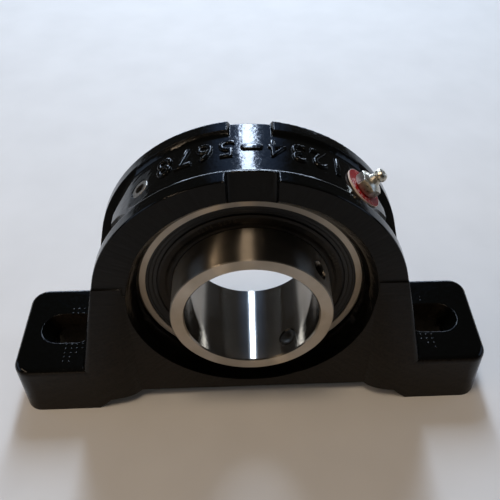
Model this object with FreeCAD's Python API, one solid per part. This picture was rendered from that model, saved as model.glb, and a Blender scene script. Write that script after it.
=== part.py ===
import FreeCAD, Part
import math
import os

# Pillow block bearing. Millimetres, +Z up, +Y towards the back.
# The origin is the centre of the bore, in the middle of the housing's depth.

# Housing
CENTRE_HEIGHT = 69.85        # bore axis above the base
BASE_LENGTH = 238.2
BASE_WIDTH = 56.7
FOOT_THICKNESS = 31.5
FOOT_CORNER_R = 9.0          # corners seen from above
FOOT_EDGE_R = 3.0            # rolled top edge
ARCH_R = 73.1
ARCH_WIDTH = 44.0
ARCH_EDGE_R = 1.4
FLANK_SLOPE = 13.5           # degrees from upright
RIM_THICKNESS = 6.8
FACE_STEP = 0.5              # the arch's front face is set back above the ledge
LEDGE_Z = 8.5
COLUMN_TOP_Z = 13.0          # where the flared columns run out
COLUMN_INNER_X = 58.5
COLUMN_EDGE_R = 4.0
COLUMN_TOP_FLARE = 0.25
FLARE_CURVE = ((0.10, 0.36), (0.30, 0.70), (0.58, 0.90))   # shares of the column's width and flare
WEB_TOP_DROP = 2.1           # the deep channel's arc below the rims at the top
WEB_SHIFT = 9.0              # the channel's arc sits this much higher
WEB_FOOT_INSET = 10.0
CHANNEL_CORNER_R = 4.0       # where the channel's floor curves up to the rims
LAND_DROP = 1.9              # the raised floor at the top, below the rims
LAND_PLAN = ((42.0, 17.0), (48.0, 10.5), (53.0, 6.0), (60.0, 3.0))   # angle from the top, half width
LAND_END_DROP = 4.0          # the shallow floor's tool ends this much below the land's end
FITTING_ANGLE = 44.8         # from the top, to the right
PLUG_ANGLE = -41.7
PAD_DROP = 2.2               # flats for the fitting and the plug, below the rims
SPOT_R = 10.2                # the round milling that makes them
NOTCH_WIDTH = 21.4
NOTCH_SHIFT = 1.2            # the cores sat a little to the right
NOTCH_DEPTH = 8.0
NOTCH_CORNER_R = 2.5
NOTCH_EDGE_R = 0.5           # rounding of the front gap's top edges
NOTCH_FLARE = 1.3            # lean of the rear gap's sides
RELIEF_HEIGHT = 5.9          # hollow under the base
RELIEF_HALF = 74.0
RELIEF_SPREAD = 6.5
RELIEF_BEND = (0.32, 0.62)   # where its end curve bulges, as shares of spread and height
SLOT_CENTRE_X = 93.0
SLOT_LENGTH = 22.0
SLOT_WIDTH = 16.6
SLOT_FUNNEL_DEPTH = 9.0
SLOT_FUNNEL_SIDE = 1.5
SLOT_FUNNEL_END = 5.2
MOUTH_R = 57.9               # opening at the housing's faces
MOUTH_STEP_R = 56.2
MOUTH_STEP_Y = 14.0
SEAT_EDGE_Y = 11.4
SEAT_CLEARANCE = 0.03

# Insert
BORE_R = 30.956
INNER_OD_R = 37.4
INNER_FRONT = 29.85
INNER_REAR = 16.2
INNER_CHAMFER = 0.4
BORE_CHAMFER = 0.6
SHOULDER_R = 38.8
SHOULDER_HALF = 7.3
OUTER_SPHERE_R = 55.0
OUTER_HALF = 9.8
OUTER_FACE_R = 52.9
OUTER_LAND_R = 47.6
SEAL_SEAT_R = 50.0
SEAL_SEAT_Y = 7.75
BALL_COUNT = 10
BALL_R = 6.747
PITCH_R = 43.3
GROOVE_R = 6.95
BALL_CLEARANCE = 0.02
CAGE_SHEET = 0.8
CAGE_HALF_BAND = 2.1
POCKET_CLEARANCE = 0.1
RIVET_R = 0.9
RIVET_HEAD_R = 1.5
RIVET_HEAD_HEIGHT = 0.5
RIVET_CLEARANCE = 0.02

# Seals and flingers
SEAL_THICKNESS = 0.9
SEAL_BEAD_R = 48.5
SEAL_BEAD_Y = 9.45
SEAL_RING_R = 46.6
SEAL_RING_STEP = 0.35
SEAL_LIP_CLEARANCE = 0.08
SEAL_LIP_WIDTH = 1.2
SEAL_LIP_LIFT = 0.25
SEAL_BEVEL = 0.3
FLINGER_R = 44.9
FLINGER_GAP = 0.2
FLINGER_SHEET = 0.6
FLINGER_RAISE = 0.35
FLINGER_HUB = 1.2
FLINGER_HUB_WALL = 0.4
FLINGER_ROLL = 0.3
FLINGER_SHOULDER = 1.2

# Set screws
SCREW_ANGLES = (56.0, 146.0)
SCREW_Y = -20.5
SCREW_R = 4.72
SCREW_CLEARANCE = 0.04
SCREW_LENGTH = 5.5
SCREW_SINK = 0.7             # below the ring's outside
SCREW_KEY = 4.76
SCREW_KEY_DEPTH = 2.8
SCREW_CUP_R = 2.9
SCREW_CUP_DEPTH = 1.0
SCREW_BEVEL = 0.5

# Locking pin
PIN_R = 2.5
PIN_LENGTH = 5.6
PIN_CLEARANCE = 0.04
PIN_HOLE_DEPTH = 3.0
PIN_END_GAP = 0.3
PIN_SWING = 5.8
PIN_BEVEL = 0.4

# Grease way, fitting and plug
GREASE_GROOVE_HALF = 7.2
GREASE_GROOVE_DEPTH = 1.5
GREASE_DRILL_R = 2.0
GREASE_HOLE_R = 1.0
GREASE_HOLE_Y = 6.4
THREAD_R = 4.9
THREAD_DEPTH = 10.5
WASHER_R = 10.0
WASHER_THICKNESS = 0.8
FITTING_HEX = 11.1
FITTING_HEX_HEIGHT = 4.7
FITTING_HEX_TURN = 30        # degrees, a corner points to the front
FITTING_SHANK = 8.0
FITTING_BEVEL = 0.6
FITTING_CROWN = 1.0
FITTING_TAPER = 2.6
FITTING_HEAD_HEIGHT = 3.4
FITTING_HEAD_SLOPE = 0.7
FITTING_NOSE = 1.3
FITTING_TIP_R = 1.6
FITTING_TIP_BEVEL = 0.2
FITTING_HEAD_R = 3.1
FITTING_NECK_R = 2.5
FITTING_HEIGHT = 11.2        # above the washer
FITTING_WAY_R = 1.22
FITTING_MOUTH_R = 0.8
CHECK_BALL_R = 1.17
CHECK_BALL_DEPTH = 1.0        # below the fitting's tip
CHECK_SEAT = (0.21, 1.01)    # where the seat's cone starts and ends above the ball's centre
SPRING_WIRE_R = 0.16
SPRING_R = 0.95
SPRING_LENGTH = 4.0
SPRING_TURNS = 3
PLUG_LENGTH = 8.0
PLUG_KEY = 4.76
PLUG_KEY_DEPTH = 4.2
PLUG_CHAMFER = 0.5

# Sizes that follow from the ones above
BASE_Z = -CENTRE_HEIGHT
FOOT_TOP_Z = BASE_Z + FOOT_THICKNESS
HALF_BASE = BASE_LENGTH / 2
HALF_DEPTH = BASE_WIDTH / 2
LAND_R = ARCH_R - LAND_DROP
PAD_DISTANCE = ARCH_R - PAD_DROP
HALF_ARCH = ARCH_WIDTH / 2
RIM_INNER_Y = HALF_ARCH - RIM_THICKNESS
SLOPE = math.radians(FLANK_SLOPE)
SEAT_R = OUTER_SPHERE_R + SEAT_CLEARANCE
OVERSHOOT = 5.0              # cutting bodies reach past what they cut

V = FreeCAD.Vector
ORIGIN = V(0, 0, 0)
UP = V(0, 0, 1)
BACK = V(0, 1, 0)
UPRIGHT_PLANE = V(1, 0, 0)


def revolved(points):
    """Turns a closed outline of (radius, depth) points about the bore axis."""
    corners = [V(radius, depth, 0) for radius, depth in points]
    face = Part.Face(Part.makePolygon(corners + corners[:1]))
    return face.revolve(ORIGIN, BACK, 360)


def turned(points):
    """Turns a closed outline of (radius, height) points about the Z axis."""
    corners = [V(radius, 0, height) for radius, height in points]
    face = Part.Face(Part.makePolygon(corners + corners[:1]))
    return face.revolve(ORIGIN, UP, 360)


def swung(shape, angle, depth=0.0):
    """Turns a shape made along +Z to an angle from the top, and moves it along the axis."""
    copy = shape.copy()
    copy.rotate(ORIGIN, BACK, angle)
    copy.translate(V(0, depth, 0))
    return copy


def front_copy(shape):
    """The same shape on the front side of the insert."""
    return shape.mirror(ORIGIN, BACK)


def left_copy(shape):
    """The same shape on the left half."""
    return shape.mirror(ORIGIN, UPRIGHT_PLANE)


def hexagon(across_flats, height):
    """A hexagonal bar standing on the origin."""
    radius = across_flats / math.sqrt(3)
    corners = [V(radius * math.cos(math.radians(60 * i)), radius * math.sin(math.radians(60 * i)), 0)
               for i in range(6)]
    return Part.Face(Part.makePolygon(corners + corners[:1])).extrude(V(0, 0, height))


def slab(wire, depth):
    """An upright outline made solid, depth to each side of the middle."""
    solid = Part.Face(wire).extrude(V(0, 2 * depth, 0))
    solid.translate(V(0, -depth, 0))
    return solid


def slot_outline(centre_x, length, width, height):
    """A long hole's outline with round ends, lying at a height."""
    end_r = width / 2
    reach = length / 2 - end_r
    corners = [V(centre_x - reach, -end_r, height), V(centre_x + reach, -end_r, height),
               V(centre_x + reach, end_r, height), V(centre_x - reach, end_r, height)]
    far = Part.Arc(corners[1], V(centre_x + reach + end_r, 0, height), corners[2])
    near = Part.Arc(corners[3], V(centre_x - reach - end_r, 0, height), corners[0])
    return Part.Wire([Part.makeLine(corners[0], corners[1]), far.toShape(),
                      Part.makeLine(corners[2], corners[3]), near.toShape()])


# Housing

def flank_x(height):
    """Where the housing's leaning side is, at a height."""
    touch_z = ARCH_R * math.sin(SLOPE)
    return ARCH_R * math.cos(SLOPE) + (touch_z - height) * math.tan(SLOPE)


def arch_outline(radius, lift, foot_inset):
    """The round top with its leaning sides, down to the base."""
    touch_x = radius * math.cos(SLOPE)
    touch_z = lift + radius * math.sin(SLOPE)
    foot_x = flank_x(BASE_Z) - foot_inset
    arc = Part.Arc(V(-touch_x, 0, touch_z), V(0, 0, lift + radius), V(touch_x, 0, touch_z))
    right = [V(touch_x, 0, touch_z), V(foot_x, 0, BASE_Z)]
    left = [V(-foot_x, 0, BASE_Z), V(-touch_x, 0, touch_z)]
    return Part.Wire([arc.toShape(), Part.makeLine(*right), Part.makeLine(right[1], left[0]),
                      Part.makeLine(*left)])


def rolled_slab():
    """The full arch with its outer edges rolled."""
    solid = slab(arch_outline(ARCH_R, 0.0, 0.0), HALF_ARCH)
    edges = [edge for edge in solid.Edges
             if abs(abs(edge.CenterOfMass.y) - HALF_ARCH) < 1e-6 and edge.CenterOfMass.z > BASE_Z + 1]
    return solid.makeFillet(ARCH_EDGE_R, edges)


def land_plan():
    """The raised floor's outline seen from above, as an upright bar: wide, then pointed."""
    right = [(LAND_R * math.sin(math.radians(angle)), half) for angle, half in LAND_PLAN]
    corners = [V(x, half, 0) for x, half in right] + [V(x, -half, 0) for x, half in reversed(right)]
    corners += [V(-x, -half, 0) for x, half in right] + [V(-x, half, 0) for x, half in reversed(right)]
    return Part.Face(Part.makePolygon(corners + corners[:1])).extrude(V(0, 0, ARCH_R + OVERSHOOT))


def channel():
    """What is taken out between the two rims beside the raised floor, its corners round."""
    web_r = ARCH_R - WEB_TOP_DROP - WEB_SHIFT
    outside = slab(arch_outline(ARCH_R + OVERSHOOT, 0.0, -OVERSHOOT), RIM_INNER_Y)
    web = slab(arch_outline(web_r, WEB_SHIFT, WEB_FOOT_INSET), RIM_INNER_Y + OVERSHOOT)
    tool = outside.cut(web)
    corners = [edge for edge in tool.Edges
               if abs(abs(edge.CenterOfMass.y) - RIM_INNER_Y) < 1e-6
               and web.isInside(edge.discretize(3)[1], 1e-4, True)]
    return tool.makeFillet(CHANNEL_CORNER_R, corners).cut(land_plan())


def shallow_channel():
    """What is taken out above the raised floor: a round floor that curves up to the rims."""
    corner = CHANNEL_CORNER_R
    flat = RIM_INNER_Y - corner
    outer = ARCH_R + OVERSHOOT
    bend = corner * math.sin(math.radians(45))
    middle = (LAND_R + corner - bend, flat + bend)
    low = [V(LAND_R, -flat, 0), V(LAND_R, flat, 0)]
    high = [V(LAND_R + corner, RIM_INNER_Y, 0), V(LAND_R + corner, -RIM_INNER_Y, 0)]
    rear = Part.Arc(low[1], V(*middle, 0), high[0])
    front = Part.Arc(high[1], V(middle[0], -middle[1], 0), low[0])
    rest = Part.makePolygon([high[0], V(outer, RIM_INNER_Y, 0), V(outer, -RIM_INNER_Y, 0), high[1]])
    outline = Part.Wire([Part.makeLine(*low), rear.toShape()] + rest.Edges + [front.toShape()])
    ring = Part.Face(outline).revolve(ORIGIN, BACK, 360)
    end = LAND_R * math.cos(math.radians(LAND_PLAN[-1][0])) - LAND_END_DROP
    return ring.common(Part.makeBox(2 * outer, 2 * RIM_INNER_Y, outer, V(-outer, -RIM_INNER_Y, end)))


def spot_face():
    """The round flat milled for the fitting or the plug, made at the top."""
    return Part.makeCylinder(SPOT_R, OVERSHOOT, V(0, 0, PAD_DISTANCE))


def foot_root():
    """What fills the space between the arch's leg and the right foot, under the channel."""
    inside = HALF_ARCH - ARCH_EDGE_R
    reach = flank_x(FOOT_TOP_Z) - COLUMN_INNER_X
    return Part.makeBox(reach, 2 * inside, FOOT_THICKNESS, V(COLUMN_INNER_X, -inside, BASE_Z))


def foot():
    """The right foot: a block with round outer corners and a rolled top edge."""
    inner_x = flank_x(FOOT_TOP_Z) - COLUMN_EDGE_R
    block = Part.makeBox(HALF_BASE - inner_x, BASE_WIDTH, FOOT_THICKNESS, V(inner_x, -HALF_DEPTH, BASE_Z))
    corners = [edge for edge in block.Edges
               if abs(edge.CenterOfMass.x - HALF_BASE) < 1e-6 and abs(edge.CenterOfMass.y) > HALF_DEPTH - 1e-6]
    block = block.makeFillet(FOOT_CORNER_R, corners)
    rolled = [edge for edge in block.Edges
              if abs(edge.CenterOfMass.z - FOOT_TOP_Z) < 1e-6 and edge.CenterOfMass.x > inner_x + 1e-6]
    return block.makeFillet(FOOT_EDGE_R, rolled).fuse(foot_root())


def column_section(height, flare):
    """Plan outline of one flared column, front half, at a height."""
    outer = flank_x(height)
    edge_r = min(COLUMN_EDGE_R, flare)
    span = outer - COLUMN_INNER_X
    front = HALF_ARCH + flare
    points = [V(COLUMN_INNER_X, -HALF_ARCH, height)]
    for along, forward in FLARE_CURVE:
        points.append(V(COLUMN_INNER_X + along * span, -HALF_ARCH - forward * flare, height))
    points.append(V(outer - edge_r, -front, height))
    curve = Part.BSplineCurve()
    curve.interpolate(points)
    middle = edge_r * math.sin(math.radians(45))
    rounding = Part.Arc(points[-1], V(outer - edge_r + middle, -front + edge_r - middle, height),
                        V(outer, -front + edge_r, height))
    inside = HALF_ARCH - ARCH_EDGE_R
    rest = Part.makePolygon([V(outer, -front + edge_r, height), V(outer, -inside, height),
                             V(COLUMN_INNER_X, -inside, height), points[0]])
    return Part.Wire([curve.toShape(), rounding.toShape()] + rest.Edges)


def column():
    """The right front column, swelling forward as it comes down to the foot."""
    knee = column_section(FOOT_TOP_Z, HALF_DEPTH - HALF_ARCH)
    top = column_section(COLUMN_TOP_Z, COLUMN_TOP_FLARE)
    lower = Part.Face(knee).extrude(V(0, 0, -FOOT_THICKNESS))
    upper = Part.makeLoft([knee, top], True, True)
    return lower.fuse(upper)


def relief():
    """The hollow under the base, with curved ends."""
    top = BASE_Z + RELIEF_HEIGHT
    outer = RELIEF_HALF + RELIEF_SPREAD
    bend = V(RELIEF_HALF + RELIEF_BEND[0] * RELIEF_SPREAD, 0, BASE_Z + RELIEF_BEND[1] * RELIEF_HEIGHT)
    right = Part.Arc(V(outer, 0, BASE_Z), bend, V(RELIEF_HALF, 0, top))
    left = Part.Arc(V(-RELIEF_HALF, 0, top), V(-bend.x, 0, bend.z), V(-outer, 0, BASE_Z))
    below = BASE_Z - OVERSHOOT
    lines = Part.makePolygon([V(-outer, 0, BASE_Z), V(-outer, 0, below), V(outer, 0, below),
                              V(outer, 0, BASE_Z)])
    top_line = Part.makeLine(V(RELIEF_HALF, 0, top), V(-RELIEF_HALF, 0, top))
    wire = Part.Wire(Part.__sortEdges__([right.toShape(), top_line, left.toShape()] + lines.Edges))
    return slab(wire, HALF_DEPTH + OVERSHOOT)


def bolt_slot():
    """The right bolt slot, wider where it meets the foot's top."""
    through = Part.Face(slot_outline(SLOT_CENTRE_X, SLOT_LENGTH, SLOT_WIDTH, BASE_Z - OVERSHOOT))
    through = through.extrude(V(0, 0, FOOT_THICKNESS + 2 * OVERSHOOT))
    waist = slot_outline(SLOT_CENTRE_X, SLOT_LENGTH, SLOT_WIDTH, FOOT_TOP_Z - SLOT_FUNNEL_DEPTH)
    mouth_length = SLOT_LENGTH + SLOT_FUNNEL_SIDE + SLOT_FUNNEL_END
    mouth_x = SLOT_CENTRE_X + (SLOT_FUNNEL_END - SLOT_FUNNEL_SIDE) / 2
    mouth = slot_outline(mouth_x, mouth_length, SLOT_WIDTH + 2 * SLOT_FUNNEL_SIDE, FOOT_TOP_Z)
    funnel = Part.makeLoft([waist, mouth], True, True)
    rise = Part.Face(mouth).extrude(V(0, 0, OVERSHOOT))
    return through.fuse([funnel, rise])


def mouth_tool():
    """The opening through the housing: round seat in the middle, wider at both faces."""
    slope = (MOUTH_R - MOUTH_STEP_R) / (HALF_ARCH - MOUTH_STEP_Y)
    far_y = HALF_ARCH + OVERSHOOT
    far_r = MOUTH_R + slope * OVERSHOOT
    lip_r = math.sqrt(SEAT_R ** 2 - SEAT_EDGE_Y ** 2)
    side = [(lip_r, SEAT_EDGE_Y), (MOUTH_STEP_R, MOUTH_STEP_Y), (far_r, far_y), (0, far_y)]
    mirrored = [(radius, -depth) for radius, depth in reversed(side)]
    hole = revolved(mirrored + side)
    return hole.fuse(Part.makeSphere(SEAT_R))


def grease_way():
    """Tapped hole and drilling from a pad to the groove in the seat, made at the top."""
    thread_floor = PAD_DISTANCE - THREAD_DEPTH
    tapped = Part.makeCylinder(THREAD_R, THREAD_DEPTH + OVERSHOOT, V(0, 0, thread_floor))
    drilled = Part.makeCylinder(GREASE_DRILL_R, thread_floor + OVERSHOOT, V(0, 0, SEAT_R - OVERSHOOT))
    return tapped.fuse(drilled)


def seat_groove():
    """The grease groove round the seat."""
    inner = SEAT_R - 3
    outer = SEAT_R + GREASE_GROOVE_DEPTH
    half = GREASE_GROOVE_HALF
    return revolved([(inner, -half), (outer, -half), (outer, half), (inner, half)])


def pin_slot():
    """The slot along the axis in which the locking pin slides when the insert tilts."""
    half = PIN_R + PIN_CLEARANCE
    floor = OUTER_SPHERE_R - PIN_HOLE_DEPTH
    top = floor + PIN_LENGTH + 2 * PIN_END_GAP
    return Part.makeBox(2 * half, 2 * PIN_SWING, top - floor, V(-half, -PIN_SWING, floor))


def front_notch():
    """The gap in the front rim at the top, right through to the opening."""
    left = NOTCH_SHIFT - NOTCH_WIDTH / 2
    low = MOUTH_STEP_R - OVERSHOOT
    back = NOTCH_DEPTH - HALF_ARCH
    box = Part.makeBox(NOTCH_WIDTH, NOTCH_DEPTH + OVERSHOOT, ARCH_R + OVERSHOOT - low,
                       V(left, -HALF_ARCH - OVERSHOOT, low))
    edges = [edge for edge in box.Edges
             if abs(edge.CenterOfMass.y - back) < 1e-6
             and abs(edge.CenterOfMass.x - NOTCH_SHIFT) > NOTCH_WIDTH / 2 - 1e-6]
    return box.makeFillet(NOTCH_CORNER_R, edges)


def rear_notch():
    """The shallow gap in the rear rim at the top, whose floor runs on from the channel's."""
    floor = Part.makeCylinder(LAND_R, HALF_ARCH, ORIGIN, BACK)
    edges = [edge for edge in floor.Edges if abs(edge.CenterOfMass.y - HALF_ARCH) < 1e-6]
    floor = floor.makeFillet(ARCH_EDGE_R, edges)
    lean = NOTCH_FLARE / LAND_DROP
    near = RIM_INNER_Y - OVERSHOOT
    corners = []
    for height, order in ((LAND_R - OVERSHOOT, (-1, 1)), (ARCH_R + OVERSHOOT, (1, -1))):
        half = NOTCH_WIDTH / 2 + lean * (height - ARCH_R)
        corners += [V(NOTCH_SHIFT + side * half, near, height) for side in order]
    wedge = Part.Face(Part.makePolygon(corners + corners[:1])).extrude(V(0, HALF_ARCH, 0))
    return wedge.cut(floor)


def rounded_notch(body):
    """Rounds the top edges of the front gap."""
    back = NOTCH_DEPTH - HALF_ARCH
    reach = NOTCH_WIDTH / 2 + NOTCH_EDGE_R
    edges = []
    for edge in body.Edges:
        box = edge.BoundBox
        inside = abs(box.XMin - NOTCH_SHIFT) < reach and abs(box.XMax - NOTCH_SHIFT) < reach
        if inside and box.ZMin > LAND_R - 1 and box.YMax < back + NOTCH_EDGE_R:
            edges.append(edge)
    return body.makeFillet(NOTCH_EDGE_R, edges)


def face_step():
    """The thin layer taken off the front face above the ledge."""
    size = 2 * ARCH_R
    return Part.makeBox(size, OVERSHOOT, size, V(-ARCH_R, -HALF_ARCH + FACE_STEP - OVERSHOOT, LEDGE_Z))


def housing():
    """The cast housing."""
    body = rolled_slab().cut([channel(), shallow_channel()])
    body = body.cut(face_step())
    right_column = column()
    columns = [right_column, front_copy(right_column)]
    columns += [left_copy(part) for part in columns]
    body = body.fuse([foot(), left_copy(foot())] + columns)
    slot = bolt_slot()
    body = body.cut([relief(), slot, left_copy(slot), front_notch(), rear_notch()])
    body = body.cut(mouth_tool())
    for angle in (FITTING_ANGLE, PLUG_ANGLE):
        body = body.cut([swung(spot_face(), angle), swung(grease_way(), angle)])
    body = body.cut([seat_groove(), pin_slot()])
    return rounded_notch(body.removeSplitter())


# Insert

def race(radius):
    """The ring-shaped body that cuts a ball groove whose centre runs on a radius."""
    return Part.makeTorus(radius, GROOVE_R, ORIGIN, BACK)


def outer_ring():
    """Outer ring: round outside, ball groove, steps for the seals, pin hole and grease holes."""
    half = OUTER_HALF
    body = revolved([(OUTER_LAND_R, -SEAL_SEAT_Y), (SEAL_SEAT_R, -SEAL_SEAT_Y), (SEAL_SEAT_R, -half),
                     (OUTER_SPHERE_R, -half), (OUTER_SPHERE_R, half), (SEAL_SEAT_R, half),
                     (SEAL_SEAT_R, SEAL_SEAT_Y), (OUTER_LAND_R, SEAL_SEAT_Y)])
    body = body.common(Part.makeSphere(OUTER_SPHERE_R))
    edge_r = math.sqrt(OUTER_SPHERE_R ** 2 - half ** 2)
    bevel = edge_r - OUTER_FACE_R
    bevel_ring = revolved([(OUTER_FACE_R, half), (edge_r + 1, half - bevel - 1), (edge_r + 1, half + 1),
                           (OUTER_FACE_R, half + 1)])
    body = body.cut([bevel_ring, front_copy(bevel_ring)])
    body = body.cut(race(PITCH_R + BALL_R + BALL_CLEARANCE - GROOVE_R))
    pin_hole = Part.makeCylinder(PIN_R + PIN_CLEARANCE, 2 * PIN_HOLE_DEPTH,
                                 V(0, 0, OUTER_SPHERE_R - PIN_HOLE_DEPTH))
    feed = Part.makeCylinder(GREASE_HOLE_R, OUTER_SPHERE_R, V(0, GREASE_HOLE_Y, OUTER_LAND_R / 2))
    feeds = [swung(feed, FITTING_ANGLE), swung(feed, PLUG_ANGLE)]
    return body.cut([pin_hole] + feeds)


def inner_ring():
    """Inner ring: long at the front for the set screws, short at the back."""
    front = -INNER_FRONT
    rear = INNER_REAR
    chamfer = INNER_CHAMFER
    body = revolved([(BORE_R + BORE_CHAMFER, front), (INNER_OD_R - chamfer, front),
                     (INNER_OD_R, front + chamfer), (INNER_OD_R, -SHOULDER_HALF),
                     (SHOULDER_R, -SHOULDER_HALF), (SHOULDER_R, SHOULDER_HALF),
                     (INNER_OD_R, SHOULDER_HALF), (INNER_OD_R, rear - chamfer),
                     (INNER_OD_R - chamfer, rear), (BORE_R + BORE_CHAMFER, rear),
                     (BORE_R, rear - BORE_CHAMFER), (BORE_R, front + BORE_CHAMFER)])
    body = body.cut(race(PITCH_R - BALL_R - BALL_CLEARANCE + GROOVE_R))
    hole = Part.makeCylinder(SCREW_R + SCREW_CLEARANCE, INNER_OD_R, V(0, 0, BORE_R / 2))
    return body.cut([swung(hole, angle, SCREW_Y) for angle in SCREW_ANGLES])


def ball(index):
    """One ball of the row."""
    solid = Part.makeSphere(BALL_R, V(0, 0, PITCH_R))
    return swung(solid, 360 / BALL_COUNT * index)


def cage_half(tools):
    """The rear half of the cage: a flat band with a pocket round each ball."""
    inner = PITCH_R - CAGE_HALF_BAND
    outer = PITCH_R + CAGE_HALF_BAND
    shell_r = BALL_R + POCKET_CLEARANCE + CAGE_SHEET
    flat = revolved([(inner, 0), (outer, 0), (outer, CAGE_SHEET), (inner, CAGE_SHEET)])
    room = revolved([(inner, 0), (outer, 0), (outer, shell_r + 1), (inner, shell_r + 1)])
    shell = Part.makeSphere(shell_r, V(0, 0, PITCH_R))
    step = 360 / BALL_COUNT
    shells = [swung(shell, step * i).common(room) for i in range(BALL_COUNT)]
    return flat.fuse(shells).cut(tools).removeSplitter()


def pocket_tools():
    """The balls with their play, to be cut from both halves of the cage."""
    room = Part.makeSphere(BALL_R + POCKET_CLEARANCE, V(0, 0, PITCH_R))
    return [swung(room, 360 / BALL_COUNT * i) for i in range(BALL_COUNT)]


def rivet(radius, head_r):
    """One rivet between two pockets, made through both sheets."""
    reach = CAGE_SHEET
    head = RIVET_HEAD_HEIGHT
    shank = Part.makeCylinder(radius, 2 * reach, V(0, -reach, PITCH_R), BACK)
    rear_head = Part.makeCylinder(head_r, head, V(0, reach, PITCH_R), BACK)
    front_head = Part.makeCylinder(head_r, head, V(0, -reach - head, PITCH_R), BACK)
    return shank.fuse([rear_head, front_head])


def cage_rear(tools):
    """The rear half with holes for the rivets."""
    hole = Part.makeCylinder(RIVET_R + RIVET_CLEARANCE, 4 * CAGE_SHEET, V(0, -2 * CAGE_SHEET, PITCH_R), BACK)
    step = 360 / BALL_COUNT
    return cage_half(tools).cut([swung(hole, step * (i + 0.5)) for i in range(BALL_COUNT)])


def cage_front(tools):
    """The front half, with the rivets closed over both halves."""
    step = 360 / BALL_COUNT
    plain = front_copy(cage_half(tools))
    rivets = [swung(rivet(RIVET_R, RIVET_HEAD_R), step * (i + 0.5)) for i in range(BALL_COUNT)]
    return plain.fuse(rivets).removeSplitter()


def seal():
    """The rear seal: a plate with a thick outer bead and a fine raised ring."""
    back = SEAL_SEAT_Y + SEAL_THICKNESS
    lip = INNER_OD_R + SEAL_LIP_CLEARANCE
    ring = SEAL_RING_R
    step = back + SEAL_RING_STEP
    bevel = SEAL_BEVEL
    return revolved([(lip, SEAL_SEAT_Y + SEAL_LIP_LIFT), (lip + SEAL_LIP_WIDTH, SEAL_SEAT_Y),
                     (SEAL_SEAT_R, SEAL_SEAT_Y), (SEAL_SEAT_R, SEAL_BEAD_Y - bevel),
                     (SEAL_SEAT_R - bevel, SEAL_BEAD_Y), (SEAL_BEAD_R + bevel, SEAL_BEAD_Y),
                     (SEAL_BEAD_R, step), (ring + bevel, step), (ring, back), (lip, back)])


def flinger():
    """The rear flinger: a pressed disc on the inner ring, its outer edge rolled."""
    near = SEAL_SEAT_Y + SEAL_THICKNESS + FLINGER_GAP
    far = near + FLINGER_SHEET
    hub = INNER_OD_R + FLINGER_HUB
    raised = far + FLINGER_RAISE
    edge = FLINGER_R - FLINGER_ROLL
    slope = FLINGER_SHOULDER
    return revolved([(INNER_OD_R, near), (edge, near), (FLINGER_R, near + FLINGER_ROLL),
                     (FLINGER_R, far - FLINGER_ROLL), (edge, far), (edge - slope, raised),
                     (hub + 2 * slope, raised), (hub + slope, far), (hub, far),
                     (hub - FLINGER_HUB_WALL, raised), (INNER_OD_R, raised)])


def setscrew(angle):
    """A set screw with a hexagonal socket outside and a cup point inside."""
    top = INNER_OD_R - SCREW_SINK
    tip = top - SCREW_LENGTH
    bevel = SCREW_BEVEL
    body = turned([(0, tip + SCREW_CUP_DEPTH), (SCREW_CUP_R, tip), (SCREW_R - bevel, tip),
                   (SCREW_R, tip + bevel), (SCREW_R, top - bevel), (SCREW_R - bevel, top), (0, top)])
    socket = hexagon(SCREW_KEY, SCREW_KEY_DEPTH)
    socket.translate(V(0, 0, top - SCREW_KEY_DEPTH))
    return swung(body.cut(socket), angle, SCREW_Y)


def locking_pin():
    """The pin that keeps the outer ring from turning."""
    floor = OUTER_SPHERE_R - PIN_HOLE_DEPTH + PIN_END_GAP
    bevel = PIN_BEVEL
    top = floor + PIN_LENGTH
    return turned([(0, floor), (PIN_R - bevel, floor), (PIN_R, floor + bevel), (PIN_R, top - bevel),
                   (PIN_R - bevel, top), (0, top)])


# Fitting and plug

def washer():
    """The flat ring under the grease fitting."""
    disc = Part.makeCylinder(WASHER_R, WASHER_THICKNESS, V(0, 0, PAD_DISTANCE))
    hole = Part.makeCylinder(THREAD_R, 2 * OVERSHOOT, V(0, 0, PAD_DISTANCE - OVERSHOOT))
    return swung(disc.cut(hole), FITTING_ANGLE)


def fitting_levels():
    """Heights of the fitting's seat, hexagon top and tip."""
    seat = PAD_DISTANCE + WASHER_THICKNESS
    return seat, seat + FITTING_HEX_HEIGHT, seat + FITTING_HEIGHT


def ball_height():
    """Where the centre of the fitting's small ball is, along the fitting."""
    return fitting_levels()[2] - CHECK_BALL_DEPTH - CHECK_BALL_R


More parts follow.
